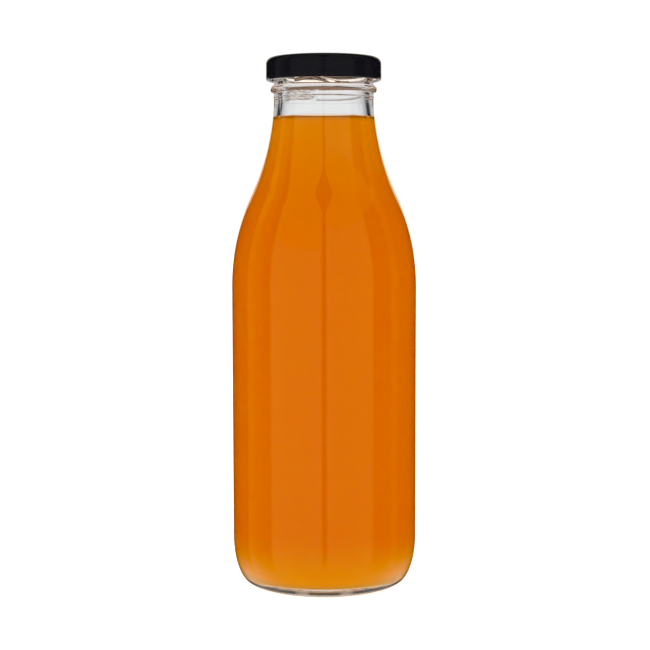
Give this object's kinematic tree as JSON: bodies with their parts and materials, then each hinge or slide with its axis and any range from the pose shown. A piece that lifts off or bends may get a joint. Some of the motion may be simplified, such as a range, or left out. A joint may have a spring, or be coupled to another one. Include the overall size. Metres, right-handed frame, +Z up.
{
  "type": "filled milk bottle",
  "caption": "Clear wide-mouth glass milk bottle with round shoulders, filled with orange drink and shut with a black twist-off lid.",
  "frame": {"origin": "centre of the base ring, on the surface that the bottle stands on", "axes": "+Z up along the bottle's axis, through the lid; -Y faces the viewer of the picture, +X to the right"},
  "size_m": [0.0806, 0.0806, 0.229],
  "materials": {
    "glass": "clear, gloss, with a stippled base ring",
    "drink": "cloudy orange liquid",
    "lacquer": "black gloss lacquer on pressed tinplate"
  },
  "bodies": {
    "root": {"bottle": "glass", "drink": "drink", "lid": "lacquer"}
  },
  "joints": []
}
